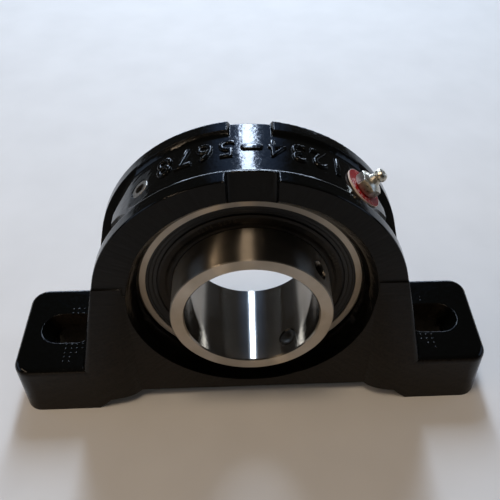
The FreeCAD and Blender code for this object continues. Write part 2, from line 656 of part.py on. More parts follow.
def fitting():
    """The grease fitting: shank, hexagon, neck and round head, with its inner way."""
    seat, hex_top, tip = fitting_levels()
    bottom = seat - FITTING_SHANK - WASHER_THICKNESS
    bevel = FITTING_BEVEL
    head_low = tip - FITTING_HEAD_HEIGHT
    shape = turned([(0, bottom), (THREAD_R - bevel, bottom), (THREAD_R, bottom + bevel),
                    (THREAD_R, hex_top), (FITTING_HEAD_R, hex_top + FITTING_CROWN),
                    (FITTING_NECK_R, hex_top + FITTING_TAPER), (FITTING_NECK_R, head_low),
                    (FITTING_HEAD_R, head_low + FITTING_HEAD_SLOPE), (FITTING_HEAD_R, tip - FITTING_NOSE),
                    (FITTING_NECK_R, tip - FITTING_TIP_BEVEL), (FITTING_TIP_R, tip), (0, tip)])
    bar = hexagon(FITTING_HEX, FITTING_HEX_HEIGHT)
    bar.rotate(ORIGIN, UP, FITTING_HEX_TURN)
    bar.translate(V(0, 0, seat))
    crown_r = FITTING_HEX / math.sqrt(3)
    crown = turned([(0, seat), (crown_r - FITTING_CROWN, seat), (crown_r, seat + bevel),
                    (crown_r, hex_top - bevel), (crown_r - FITTING_CROWN, hex_top), (0, hex_top)])
    shape = shape.fuse(bar.common(crown))
    centre = ball_height()
    stop = centre - CHECK_BALL_R - SPRING_LENGTH
    lower = Part.makeCylinder(FITTING_MOUTH_R, stop - bottom + 1, V(0, 0, bottom - 1))
    cone_low, cone_high = CHECK_SEAT
    room = turned([(0, stop), (FITTING_WAY_R, stop), (FITTING_WAY_R, centre + cone_low),
                   (FITTING_MOUTH_R, centre + cone_high), (FITTING_MOUTH_R, tip + 1), (0, tip + 1)])
    return swung(shape.cut([lower, room]), FITTING_ANGLE)


def check_ball():
    """The small ball that closes the fitting."""
    return swung(Part.makeSphere(CHECK_BALL_R, V(0, 0, ball_height())), FITTING_ANGLE)


def fitting_spring():
    """The spring below the small ball."""
    start = ball_height() - CHECK_BALL_R - SPRING_LENGTH + SPRING_WIRE_R
    length = SPRING_LENGTH - 2 * SPRING_WIRE_R
    path = Part.makeHelix(length / SPRING_TURNS, length, SPRING_R - SPRING_WIRE_R)
    wire = Part.Wire(Part.makeCircle(SPRING_WIRE_R, V(SPRING_R - SPRING_WIRE_R, 0, 0), BACK))
    coil = Part.Wire(path).makePipeShell([wire], True, True)
    coil.translate(V(0, 0, start))
    return swung(coil, FITTING_ANGLE)


def plug():
    """The socket plug in the left pad, flush with it."""
    top = PAD_DISTANCE
    bottom = top - PLUG_LENGTH
    body = turned([(0, bottom), (THREAD_R - PLUG_CHAMFER, bottom), (THREAD_R, bottom + PLUG_CHAMFER),
                   (THREAD_R, top - PLUG_CHAMFER), (THREAD_R - PLUG_CHAMFER, top), (0, top)])
    socket = hexagon(PLUG_KEY, PLUG_KEY_DEPTH)
    socket.translate(V(0, 0, top - PLUG_KEY_DEPTH))
    return swung(body.cut(socket), PLUG_ANGLE)


def all_parts():
    """Every part by its name."""
    tools = pocket_tools()
    parts = {
        "housing": housing(),
        "outer_ring": outer_ring(),
        "inner_ring": inner_ring(),
        "cage_front": cage_front(tools),
        "cage_rear": cage_rear(tools),
        "seal_front": front_copy(seal()),
        "seal_rear": seal(),
        "flinger_front": front_copy(flinger()),
        "flinger_rear": flinger(),
        "locking_pin": locking_pin(),
        "fitting_body": fitting(),
        "fitting_ball": check_ball(),
        "fitting_spring": fitting_spring(),
        "fitting_washer": washer(),
        "pipe_plug": plug(),
    }
    for number, angle in enumerate(SCREW_ANGLES, 1):
        parts[f"setscrew_{number}"] = setscrew(angle)
    for index in range(BALL_COUNT):
        parts[f"ball_{index + 1:02d}"] = ball(index)
    return parts


def main():
    """Writes each part as its own file."""
    os.makedirs("parts", exist_ok=True)
    for name, shape in all_parts().items():
        shape.exportStep(f"parts/{name}.step")


main()
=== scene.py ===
import logging
import math
from dataclasses import dataclass
from enum import Enum
from typing import Callable, Iterable

import bpy
from mathutils import Matrix, Vector


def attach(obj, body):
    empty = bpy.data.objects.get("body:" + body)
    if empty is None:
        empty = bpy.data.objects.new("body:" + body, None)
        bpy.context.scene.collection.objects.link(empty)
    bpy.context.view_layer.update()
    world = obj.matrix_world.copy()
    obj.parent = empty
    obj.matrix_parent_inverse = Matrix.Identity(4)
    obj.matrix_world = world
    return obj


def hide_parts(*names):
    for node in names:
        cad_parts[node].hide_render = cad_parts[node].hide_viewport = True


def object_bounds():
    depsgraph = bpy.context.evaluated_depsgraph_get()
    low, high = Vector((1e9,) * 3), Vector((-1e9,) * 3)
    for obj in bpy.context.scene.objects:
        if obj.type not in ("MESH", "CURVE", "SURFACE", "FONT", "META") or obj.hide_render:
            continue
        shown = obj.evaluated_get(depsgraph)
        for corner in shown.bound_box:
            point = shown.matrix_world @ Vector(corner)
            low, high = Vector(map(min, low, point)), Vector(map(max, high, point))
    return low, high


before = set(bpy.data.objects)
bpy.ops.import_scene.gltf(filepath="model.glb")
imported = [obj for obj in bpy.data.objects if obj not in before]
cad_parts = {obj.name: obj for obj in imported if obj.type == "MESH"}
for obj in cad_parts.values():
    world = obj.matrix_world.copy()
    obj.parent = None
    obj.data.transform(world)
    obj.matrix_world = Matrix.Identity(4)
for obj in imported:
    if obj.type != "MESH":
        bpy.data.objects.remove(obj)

# The pillow block bearing stands on its base, with the bore's axis along Y and the
# origin at the middle of the bore. Lengths in this file are millimetres, turned to
# the frame's metres by MM.
MM = 0.001
CAD_BOX = [list(corner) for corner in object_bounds()]

# Sizes of the solids that the new pieces stand on
LAND_R = 71.2
FOOT_TOP = -38.35
FITTING_ANGLE = 44.8
DISC_TOP = 71.7
SCREW_ANGLES = (56.0, 146.0)
SCREW_DEPTH = -20.5
SCREW_TOP = 36.7

# How near two vertices count as one, and a capital's height as a share of the text size
MERGE_MM = 0.002
CAPITAL_SHARE = 0.72

# Values between which most of a noise texture lies
NOISE_LOW = 0.3
NOISE_HIGH = 0.7

# The photograph's camera: pixels of its 500 by 500 frame, radians and millimetres
FRAME_PX = 500.0
FOCAL_PX = 677.4012
CENTRE_PX = (278.0631, 247.482)
CAMERA_PLACE = (-0.9653, -231.7711, 236.6412)
CAMERA_DOWN = 0.7603
CAMERA_YAW = 0.0605
CAMERA_ROLL = 0.0164

log = logging.getLogger("pillow_block")


class Side(Enum):
    """The two halves of the block, by the sign of X."""

    LEFT = -1
    RIGHT = 1


# Helpers

def linear(code: str) -> tuple[float, float, float, float]:
    """Turns an sRGB hex colour into the linear colour that shaders take.

    Args:
        code: Six hex digits, with or without a hash.

    Returns:
        Red, green, blue and an alpha of one.
    """
    parts = [int(code.lstrip("#")[i:i + 2], 16) / 255 for i in (0, 2, 4)]
    shades = [c / 12.92 if c <= 0.04045 else ((c + 0.055) / 1.055) ** 2.4 for c in parts]
    return (shades[0], shades[1], shades[2], 1.0)


def per_metre(size_mm: float) -> float:
    """Gives the pattern scale at which one feature is size_mm across."""
    return 1.0 / (size_mm * MM)


def add_node(tree: bpy.types.NodeTree, kind: str, settings: dict | None = None,
             inputs: dict | None = None) -> bpy.types.Node:
    """Adds a shader node with its settings and links.

    Args:
        tree: The material's node tree.
        kind: The node's type, without the leading ShaderNode.
        settings: The node's own properties by name.
        inputs: For each input, by name or number, a value or the output to link.

    Returns:
        The new node.
    """
    node = tree.nodes.new("ShaderNode" + kind)
    for name, value in (settings or {}).items():
        setattr(node, name, value)
    for name, value in (inputs or {}).items():
        if isinstance(value, bpy.types.NodeSocket):
            tree.links.new(value, node.inputs[name])
        else:
            node.inputs[name].default_value = value
    return node


def deselect() -> None:
    """Leaves edit mode and clears the selection."""
    if bpy.context.object and bpy.context.object.mode != "OBJECT":
        bpy.ops.object.mode_set(mode="OBJECT")
    bpy.ops.object.select_all(action="DESELECT")


def select_only(piece: bpy.types.Object) -> None:
    """Selects one object and makes it the active one."""
    deselect()
    piece.select_set(True)
    bpy.context.view_layer.objects.active = piece


def pick_faces(piece: bpy.types.Object, wanted: Callable[[bpy.types.MeshPolygon], bool]) -> None:
    """Selects the faces of a mesh that pass a test, then opens it in edit mode.

    Args:
        piece: The mesh object.
        wanted: Says whether a face is to be selected.
    """
    select_only(piece)
    mesh = piece.data
    for group in (mesh.vertices, mesh.edges):
        for item in group:
            item.select = False
    for face in mesh.polygons:
        face.select = wanted(face)
    bpy.ops.object.mode_set(mode="EDIT")
    bpy.ops.mesh.select_mode(type="FACE")


def apply_modifier(piece: bpy.types.Object, kind: str, **settings: object) -> None:
    """Adds a modifier to a piece and applies it.

    Args:
        piece: The mesh object.
        kind: The modifier's type.
        settings: The modifier's own properties.
    """
    select_only(piece)
    modifier = piece.modifiers.new(kind.lower(), kind)
    for name, value in settings.items():
        setattr(modifier, name, value)
    bpy.ops.object.modifier_apply(modifier=modifier.name)


def set_in_place(piece: bpy.types.Object, place: Matrix) -> None:
    """Moves a finished piece and puts its place into its mesh.

    Args:
        piece: The mesh object, modelled in its own small frame.
        place: Where that frame lies on the block.
    """
    select_only(piece)
    piece.matrix_world = place @ piece.matrix_world
    bpy.ops.object.transform_apply(location=True, rotation=True, scale=True)


def close_mesh(piece: bpy.types.Object, smooth_degrees: float = 35.0) -> None:
    """Merges doubles, turns the faces outwards and shades by angle.

    Args:
        piece: The mesh object.
        smooth_degrees: Edges sharper than this stay crisp.
    """
    select_only(piece)
    bpy.ops.object.mode_set(mode="EDIT")
    bpy.ops.mesh.select_all(action="SELECT")
    bpy.ops.mesh.remove_doubles(threshold=MERGE_MM * MM)
    bpy.ops.mesh.normals_make_consistent(inside=False)
    bpy.ops.object.mode_set(mode="OBJECT")
    bpy.ops.object.shade_smooth_by_angle(angle=math.radians(smooth_degrees))


def join(pieces: list[bpy.types.Object], name: str) -> bpy.types.Object:
    """Joins several meshes into one piece.

    Args:
        pieces: The mesh objects.
        name: The name of the whole.

    Returns:
        The joined object.
    """
    select_only(pieces[0])
    for piece in pieces:
        piece.select_set(True)
    if len(pieces) > 1:
        bpy.ops.object.join()
    whole = bpy.context.view_layer.objects.active
    whole.name = name
    return whole


def around_bore(angle: float, depth: float, radius: float) -> Matrix:
    """Gives the place of a frame whose Z points away from the bore's axis.

    Args:
        angle: Degrees from the top, towards +X.
        depth: Millimetres along the bore's axis.
        radius: Millimetres from the axis.

    Returns:
        The place as a matrix, in metres.
    """
    turn = Matrix.Rotation(math.radians(angle), 4, "Y")
    return Matrix.Translation((0, depth * MM, 0)) @ turn @ Matrix.Translation((0, 0, radius * MM))


def dress(piece: bpy.types.Object, material: bpy.types.Material) -> None:
    """Gives a piece, new or from the frame, one material all over."""
    piece.data.materials.clear()
    piece.data.materials.append(material)


def mount(piece: bpy.types.Object, body: str, material: bpy.types.Material) -> None:
    """Dresses a new piece and lets it ride on a body.

    Args:
        piece: The finished mesh object.
        body: The body that carries it.
        material: Its finish.
    """
    dress(piece, material)
    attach(piece, body)
    log.info("%s rides on %s with %d faces", piece.name, body, len(piece.data.polygons))


# Finishes

class Surface:
    """A material being made: its node tree, its shader and the piece's own coordinates."""

    def __init__(self, name: str, colour: str, roughness: float, metallic: float = 0.0) -> None:
        """Starts a material with a principled shader.

        Args:
            name: The real finish's name.
            colour: Base colour as sRGB hex.
            roughness: From 0, mirror, to 1, matt.
            metallic: 1 for bare metal, 0 for the rest.
        """
        self.material = bpy.data.materials.new(name)
        self.material.use_nodes = True
        self.tree = self.material.node_tree
        self.shader = self.tree.nodes["Principled BSDF"]
        self.set("Base Color", linear(colour))
        self.set("Roughness", roughness)
        self.set("Metallic", metallic)
        self.coords = self.add("TexCoord").outputs["Object"]

    def add(self, kind: str, settings: dict | None = None, inputs: dict | None = None) -> bpy.types.Node:
        """Adds a node to this material; see add_node."""
        return add_node(self.tree, kind, settings, inputs)

    def set(self, name: str, value: object) -> None:
        """Sets a uniform value on the shader's own socket, or links an output to it."""
        if isinstance(value, bpy.types.NodeSocket):
            self.tree.links.new(value, self.shader.inputs[name])
        else:
            self.shader.inputs[name].default_value = value

    def tint(self, pattern: bpy.types.NodeSocket, dark: str, light: str,
             low: float = NOISE_LOW, high: float = NOISE_HIGH) -> bpy.types.NodeSocket:
        """Blends two hex colours by a pattern.

        Args:
            pattern: The pattern's value.
            dark: Colour at the low end.
            light: Colour at the high end.
            low: Pattern value that gives the dark colour.
            high: Pattern value that gives the light colour.

        Returns:
            The colour output.
        """
        share = self.add("MapRange", inputs={0: pattern, 1: low, 2: high}).outputs[0]
        mixed = self.add("Mix", {"data_type": "RGBA"}, {0: share, 6: linear(dark), 7: linear(light)})
        return mixed.outputs[2]

    def relief(self, heights: Iterable[tuple[bpy.types.NodeSocket, float]], edge_mm: float = 0.0) -> None:
        """Lays several reliefs over each other and links them to the shader.

        Args:
            heights: Each pattern with its depth in millimetres, coarse ones first.
            edge_mm: How round the paint or the wear makes the sharp edges.
        """
        normal = None
        if edge_mm:
            normal = self.add("Bevel", {"samples": 6}, {"Radius": edge_mm * MM}).outputs[0]
        for pattern, depth in heights:
            inputs = {"Height": pattern, "Distance": depth * MM, "Strength": 1.0}
            if normal is not None:
                inputs["Normal"] = normal
            normal = self.add("Bump", inputs=inputs).outputs["Normal"]
        self.set("Normal", normal)

    def away_from_axis(self) -> bpy.types.NodeSocket:
        """Gives a point's distance from the bore's axis, in metres."""
        flat = self.add("VectorMath", {"operation": "MULTIPLY"}, {0: self.coords, 1: (1.0, 0.0, 1.0)})
        return self.add("VectorMath", {"operation": "LENGTH"}, {0: flat.outputs[0]}).outputs["Value"]


@dataclass(frozen=True)
class GlossEnamel:
    """Air-dried gloss enamel, sprayed over sand-cast grey iron."""

    name: str = "black_gloss_enamel"
    colour: str = "#050504"
    # Lighter brown on the upright front faces, strongest low down
    front_brown: str = "#221c16"
    roughness: float = 0.07
    front_roughness: float = 0.42
    specular: float = 0.16
    ripple_mm: float = 7.0
    ripple_depth: float = 0.17
    ridge_mm: float = 2.6
    ridge_depth: float = 0.22
    ridge_stretch: float = 0.15
    grain_mm: float = 1.3
    grain_depth: float = 0.04
    edge_mm: float = 0.7
    # Height over which that lighter brown fades out, from the bottom upwards
    brown_fade_mm: float = 35.0

    def build_ridges(self, surface: Surface) -> bpy.types.NodeSocket:
        """Draws the low ridges of the mould, which run away from the bore.

        Args:
            surface: The material being made.

        Returns:
            The ridges' height as a share of their depth.
        """
        place = surface.add("SeparateXYZ", inputs={0: surface.coords}).outputs
        angle = surface.add("Math", {"operation": "ARCTAN2"}, {0: place["X"], 1: place["Z"]}).outputs[0]
        turn = surface.add("Math", {"operation": "MULTIPLY"}, {0: angle, 1: LAND_R * MM}).outputs[0]
        outward = surface.add("Math", {"operation": "MULTIPLY"},
                              {0: surface.away_from_axis(), 1: self.ridge_stretch}).outputs[0]
        polar = surface.add("CombineXYZ", inputs={0: turn, 1: outward}).outputs[0]
        ridges = surface.add("TexNoise", inputs={"Vector": polar, "Detail": 1.0,
                                                 "Scale": per_metre(self.ridge_mm)})
        return ridges.outputs[0]

    def build(self) -> bpy.types.Material:
        """Makes the enamel, which gives a deep black with sharp but wavy reflections.

        The upright front is dull instead, and tinted a lighter brown, most of all low down.
        """
        surface = Surface(self.name, self.colour, self.roughness)
        surface.set("Specular IOR Level", self.specular)
        ripple = surface.add("TexNoise", inputs={"Vector": surface.coords, "Detail": 2.0,
                                                 "Scale": per_metre(self.ripple_mm)}).outputs[0]
        grain = surface.add("TexNoise", inputs={"Vector": surface.coords, "Detail": 4.0,
                                                "Scale": per_metre(self.grain_mm)}).outputs[0]
        normal = surface.add("NewGeometry").outputs["Normal"]
        facing = surface.add("SeparateXYZ", inputs={0: normal}).outputs["Y"]
        # Full on faces within 18 degrees of the front, gone past 57 degrees
        front = surface.add("MapRange", inputs={0: facing, 1: -0.95, 2: -0.55, 3: 1.0, 4: 0.0}).outputs[0]
        height = surface.add("SeparateXYZ", inputs={0: surface.coords}).outputs["Z"]
        low = surface.add("MapRange", inputs={0: height, 1: -self.brown_fade_mm * MM, 2: self.brown_fade_mm * MM,
                                              3: 1.0, 4: 0.0}).outputs[0]
        # Share of the lighter brown: the front faces only, most of all low down
        brown_share = surface.add("Math", {"operation": "MULTIPLY"}, {0: front, 1: low}).outputs[0]
        front_brown = surface.tint(grain, self.colour, self.front_brown, 0.2, 0.65)
        colour = surface.add("Mix", {"data_type": "RGBA"}, {0: brown_share, 6: linear(self.colour), 7: front_brown})
        surface.set("Base Color", colour.outputs[2])
        shine, dull = (
            surface.add("MapRange", inputs={0: grain, 1: NOISE_LOW, 2: NOISE_HIGH,
                                            3: least, 4: least + more}).outputs[0]
            for least, more in ((self.roughness, 0.08), (self.front_roughness, 0.1)))
        rough = surface.add("Mix", {"data_type": "FLOAT"}, {0: front, 2: shine, 3: dull})
        surface.set("Roughness", rough.outputs[0])
        ridges = surface.add("Math", {"operation": "MULTIPLY"}, {0: self.build_ridges(surface), 1: front})
        # Waves of the sand mould, its ridges on the front, and the paint's own fine peel
        surface.relief([(ripple, self.ripple_depth), (ridges.outputs[0], self.ridge_depth),
                        (grain, self.grain_depth)], self.edge_mm)
        return surface.material


@dataclass(frozen=True)
class GroundSteel:
    """Bearing steel, turned and ground round its axis, with a honed bore."""

    name: str = "ground_bearing_steel"
    colour: str = "#8f877c"
    # The flat faces' lighter colours are painted light, brighter than the steel's own colour
    face: str = "#c9bfb2"
    dark: str = "#7d766c"
    lit_face_dark: str = "#b1a696"
    roughness: float = 0.31
    bore_roughness: float = 0.13
    face_roughness: float = 0.28
    bore_edge_mm: float = 31.5
    line_mm: float = 0.35
    line_depth: float = 0.0002
    cloud_mm: float = 14.0

    def build(self) -> bpy.types.Material:
        """Makes the steel: streaks of light along the axis on its cylinders, and satin faces in a lighter
        beige, which is painted light.
        """
        surface = Surface(self.name, self.colour, self.roughness, 1.0)
        radius = surface.away_from_axis()
        depth = surface.add("SeparateXYZ", inputs={0: surface.coords}).outputs["Y"]
        along = surface.add("Math", {"operation": "ADD"}, {0: radius, 1: depth}).outputs[0]
        # Real grinding lines are a few hundredths wide; these are coarser so that they show
        lines = surface.add("TexNoise", {"noise_dimensions": "1D"},
                            {"W": along, "Scale": per_metre(self.line_mm), "Detail": 3.0}).outputs[0]
        cloud = surface.add("TexNoise", inputs={"Vector": surface.coords,
                                                "Scale": per_metre(self.cloud_mm)}).outputs[0]
        normal = surface.add("NewGeometry").outputs["Normal"]
        facing = surface.add("SeparateXYZ", inputs={0: normal}).outputs["Y"]
        square = surface.add("Math", {"operation": "ABSOLUTE"}, {0: facing}).outputs[0]
        # Faces square to the axis take the lighter colours: painted light
        flat = surface.add("MapRange", inputs={0: square, 1: 0.9, 2: 0.98}).outputs[0]
        round_tint = surface.tint(cloud, self.dark, self.colour)
        lit_face_tint = surface.tint(cloud, self.lit_face_dark, self.face)
        colour = surface.add("Mix", {"data_type": "RGBA"}, {0: flat, 6: round_tint, 7: lit_face_tint})
        surface.set("Base Color", colour.outputs[2])
        outside = surface.add("MapRange", inputs={0: radius, 1: self.bore_edge_mm * MM,
                                                  2: (self.bore_edge_mm + 1.0) * MM}).outputs[0]
        honed, ground, satin = (
            surface.add("MapRange", inputs={0: lines, 1: NOISE_LOW, 2: NOISE_HIGH,
                                            3: least, 4: least + more}).outputs[0]
            for least, more in ((self.bore_roughness, 0.02), (self.roughness, 0.06),
                                (self.face_roughness, 0.12)))
        turned = surface.add("Mix", {"data_type": "FLOAT"}, {0: outside, 2: honed, 3: ground}).outputs[0]
        rough = surface.add("Mix", {"data_type": "FLOAT"}, {0: flat, 2: turned, 3: satin})
        surface.set("Roughness", rough.outputs[0])
        surface.set("Anisotropic", 1.0)
        # A quarter turn stretches the highlights along the axis, across the grinding lines
        surface.set("Anisotropic Rotation", 0.25)
        tangent = surface.add("Tangent", {"direction_type": "RADIAL", "axis": "Y"})
        surface.set("Tangent", tangent.outputs[0])
        surface.relief([(lines, self.line_depth)])
        return surface.material


@dataclass(frozen=True)
class SimpleFinish:
    """A finish between two close colours, with soft clouding and a fine relief."""

    name: str
    dark: str
    light: str
    roughness: float
    metallic: float
    spot_mm: float
    grain_mm: float
    grain_depth: float
    edge_mm: float = 0.0

    def build(self) -> bpy.types.Material:
        """Makes the finish from its two colours, its shine and its grain."""
        surface = Surface(self.name, self.light, self.roughness, self.metallic)
        cloud = surface.add("TexNoise", inputs={"Vector": surface.coords, "Detail": 3.0,
                                                "Scale": per_metre(self.spot_mm)}).outputs[0]
        grain = surface.add("TexNoise", inputs={"Vector": surface.coords, "Detail": 2.0,
                                                "Scale": per_metre(self.grain_mm)}).outputs[0]
        surface.set("Base Color", surface.tint(cloud, self.dark, self.light))
        rough = surface.add("MapRange", inputs={0: cloud, 1: NOISE_LOW, 2: NOISE_HIGH,
                                                3: self.roughness, 4: self.roughness + 0.1})
        surface.set("Roughness", rough.outputs[0])
        surface.relief([(grain, self.grain_depth)], self.edge_mm)
        return surface.material


@dataclass(frozen=True)
class FibreDisc:
    """Red laminated fibre, punched from a sheet."""

    face: str = "#8e0a06"
    dark: str = "#6e0604"
    core: str = "#cdb9ad"
    roughness: float = 0.5
    specular: float = 0.15
    edge_mm: float = 9.75
    edge_blend_mm: float = 0.15
    fibre_mm: float = 0.8
    fibre_depth: float = 0.02

    def build(self) -> bpy.types.Material:
        """Makes the disc: a satin deep red face and the pale core round its cut rim."""
        surface = Surface("red_fibre", self.face, self.roughness)
        surface.set("Specular IOR Level", self.specular)
        upright = surface.add("Mapping", {"vector_type": "POINT"},
                              {"Vector": surface.coords,
                               "Rotation": (0.0, math.radians(-FITTING_ANGLE), 0.0)}).outputs[0]
        flat = surface.add("VectorMath", {"operation": "MULTIPLY"}, {0: upright, 1: (1.0, 1.0, 0.0)})
        radius = surface.add("VectorMath", {"operation": "LENGTH"}, {0: flat.outputs[0]})
        rim = surface.add("MapRange", inputs={0: radius.outputs["Value"], 1: self.edge_mm * MM,
                                              2: (self.edge_mm + self.edge_blend_mm) * MM}).outputs[0]
        fibre = surface.add("TexNoise", inputs={"Vector": surface.coords, "Detail": 5.0,
                                                "Scale": per_metre(self.fibre_mm)}).outputs[0]
        red = surface.tint(fibre, self.dark, self.face)
        colour = surface.add("Mix", {"data_type": "RGBA"}, {0: rim, 6: red, 7: linear(self.core)})
        surface.set("Base Color", colour.outputs[2])
        surface.relief([(fibre, self.fibre_depth)])
        return surface.material


# Moulded rubber: a soft black without a clear reflection
NITRILE = SimpleFinish("black_nitrile_rubber", "#040404", "#0a0a0a", roughness=0.4, metallic=0.0,
                       spot_mm=2.0, grain_mm=0.25, grain_depth=0.006, edge_mm=0.6)
# Pressed sheet with a baked black coat: brownish black, with the metal's sheen behind it
BLACKENED_SHEET = SimpleFinish("blackened_steel_sheet", "#1b1815", "#2b2620", roughness=0.34, metallic=0.7,
                               spot_mm=6.0, grain_mm=0.3, grain_depth=0.004, edge_mm=0.6)
# Hardened screws from an oxide bath: dark, oily, bright only on their edges
BLACK_OXIDE = SimpleFinish("black_oxide_steel", "#1d1a16", "#322d26", roughness=0.28, metallic=0.8,
                           spot_mm=1.0, grain_mm=0.2, grain_depth=0.006, edge_mm=0.25)
# Barrel-plated zinc: pale warm silver with soft bright streaks
ZINC_PLATE = SimpleFinish("bright_zinc_plate", "#b0a998", "#d6cfbf", roughness=0.26, metallic=1.0,
                          spot_mm=1.6, grain_mm=0.3, grain_depth=0.006, edge_mm=0.3)
# Old zinc on a turned plug: grey and a little dull
DULL_ZINC = SimpleFinish("dull_zinc_steel", "#6d675d", "#a09a90", roughness=0.3, metallic=1.0,
                         spot_mm=1.5, grain_mm=0.3, grain_depth=0.01)
# Lapped balls: a near mirror
POLISHED_STEEL = SimpleFinish("lapped_ball_steel", "#bdbab4", "#d2cfc8", roughness=0.05, metallic=1.0,
                              spot_mm=5.0, grain_mm=0.5, grain_depth=0.0005)
# Pressed strip steel: grey with a soft sheen
PRESSED_STEEL = SimpleFinish("pressed_cage_steel", "#6f6a60", "#958e81", roughness=0.34, metallic=1.0,
                             spot_mm=2.5, grain_mm=0.4, grain_depth=0.004)
# Drawn wire and pin stock: smooth grey
DRAWN_STEEL = SimpleFinish("drawn_pin_steel", "#807a70", "#a19a8e", roughness=0.28, metallic=1.0,
                           spot_mm=1.5, grain_mm=0.2, grain_depth=0.003)
# White ink, thin enough for the red to show through
FADED_PRINT = SimpleFinish("faded_white_print", "#8d5a52", "#b78a80", roughness=0.5, metallic=0.0,
                           spot_mm=0.6, grain_mm=0.2, grain_depth=0.002)
# Etched steel: a matt grey, a little lighter than the coat round it
ETCHED_GREY = SimpleFinish("etched_grey_steel", "#2f2a23", "#4a4338", roughness=0.55, metallic=0.5,
                           spot_mm=0.8, grain_mm=0.2, grain_depth=0.002)


@dataclass
class Finishes:
    """Every finish of the block, made once."""

    def __post_init__(self) -> None:
        """Builds the materials."""
        self.enamel = GlossEnamel().build()
        # Small castings have their round edges in the mesh
        self.small_enamel = GlossEnamel("black_gloss_enamel_on_small_shapes", edge_mm=0.0).build()
        self.ground = GroundSteel().build()
        # The outer ring's steel, whose lighter colour on the flat faces is painted light as well
        self.outer_ground = GroundSteel("ground_outer_ring_steel", "#857c70", "#beb4a7").build()
        self.fibre = FibreDisc().build()
        self.nitrile = NITRILE.build()
        self.sheet = BLACKENED_SHEET.build()
        self.oxide = BLACK_OXIDE.build()
        self.zinc = ZINC_PLATE.build()
        self.dull_zinc = DULL_ZINC.build()
        self.ball = POLISHED_STEEL.build()
        self.cage = PRESSED_STEEL.build()
        self.drawn = DRAWN_STEEL.build()
        self.print = FADED_PRINT.build()
        self.etched = ETCHED_GREY.build()


# Pieces

def numeral(character: str, height: float, rise: float, rounding: float, weight: float) -> bpy.types.Object:
    """Models one raised character, centred on the origin and facing +Z.

    Args:
        character: The character.
        height: Its height in millimetres.
        rise: How far it stands up.
        rounding: The radius of its edges.
        weight: How much its strokes are fattened.

    Returns:
        The character as a mesh object.
    """
    deselect()
    bpy.ops.object.text_add()
    text = bpy.context.object
    text.data.body = character
    text.data.size = height * MM / CAPITAL_SHARE
    text.data.align_x = "CENTER"
    text.data.align_y = "CENTER"
    text.data.offset = weight * MM
    text.data.extrude = rise * MM - rounding * MM
    text.data.bevel_depth = rounding * MM
    text.data.bevel_resolution = 2
    text.data.resolution_u = 4
    bpy.ops.object.convert(target="MESH")
    piece = bpy.context.object
    close_mesh(piece, 50.0)
    return piece


@dataclass
class CastNumerals:
    """Raised plain numerals cast on the land, read from behind the block."""

    groups: tuple[str, str] = ("1234", "5678")
    height: float = 11.6
    middle_angle: float = 1.2
    middle_depth: float = 3.4
    first_angle: float = 8.6
    step_angle: float = 7.6
    dash_half_angle: float = 3.95
    dash_width: float = 4.0
    rounding: float = 0.75
    weight: float = -0.4
    sunk: float = 0.1
    rise: float = 0.95
    crisp_degrees: float = 50.0

    def build_dash(self) -> bpy.types.Object:
        """Models the bar between the two groups, with round ends and a rolled top edge.

        Returns:
            The bar, lying on the origin with its length along X.
        """
        end_r = self.dash_width / 2
        reach = LAND_R * math.radians(self.dash_half_angle) - end_r
        deselect()
        bpy.ops.mesh.primitive_cylinder_add(vertices=32, radius=end_r * MM, depth=2 * self.rise * MM)
        bar = bpy.context.object
        for side in Side:
            pick_faces(bar, lambda face: len(face.vertices) == 4 and face.center.x * side.value > 1e-6)
            bpy.ops.transform.translate(value=(side.value * reach * MM, 0, 0))
            bpy.ops.object.mode_set(mode="OBJECT")
        pick_faces(bar, lambda face: len(face.vertices) > 4 and face.center.z > 0)
        bpy.ops.mesh.bevel(offset=self.rounding * MM, segments=3, affect="EDGES")
        bpy.ops.object.mode_set(mode="OBJECT")
        close_mesh(bar, self.crisp_degrees)
        return bar

    def build(self) -> bpy.types.Object:
        """Sets each numeral and the dash on the land at its own angle.

        Returns:
            The joined numerals.
        """
        pieces = [self.build_dash()]
        set_in_place(pieces[0], around_bore(self.middle_angle, self.middle_depth, LAND_R - self.sunk))
        first, last = self.groups
        steps = [self.first_angle + self.step_angle * k for k in range(len(first))]
        turns = list(reversed(steps)) + [-step for step in steps]
        facing_back = Matrix.Rotation(math.pi, 4, "Z")
        for character, turn in zip(first + last, turns):
            piece = numeral(character, self.height, self.rise, self.rounding, self.weight)
            place = around_bore(self.middle_angle + turn, self.middle_depth, LAND_R - self.sunk)
            set_in_place(piece, place @ facing_back)
            pieces.append(piece)
        return join(pieces, "cast_numerals")


@dataclass
class FlatMarks:
    """Small numerals that lie on a flat ring face, set in an arc."""

    name: str
    text: str
    height: float
    radius: float
    first_angle: float
    step_angle: float
    rise: float
    face: Matrix
    weight: float = 0.02

    def build(self) -> bpy.types.Object:
        """Sets the numerals in an arc on the face.

        Returns:
            The joined marks.
        """
        pieces = []
        for index, character in enumerate(self.text):
            piece = numeral(character, self.height, self.rise, 0.0, self.weight)
            angle = math.radians(self.first_angle + index * self.step_angle)
            place = Matrix.Rotation(-angle, 4, "Z") @ Matrix.Translation((0, self.radius * MM, 0))
            set_in_place(piece, self.face @ place)
            pieces.append(piece)
        return join(pieces, self.name)


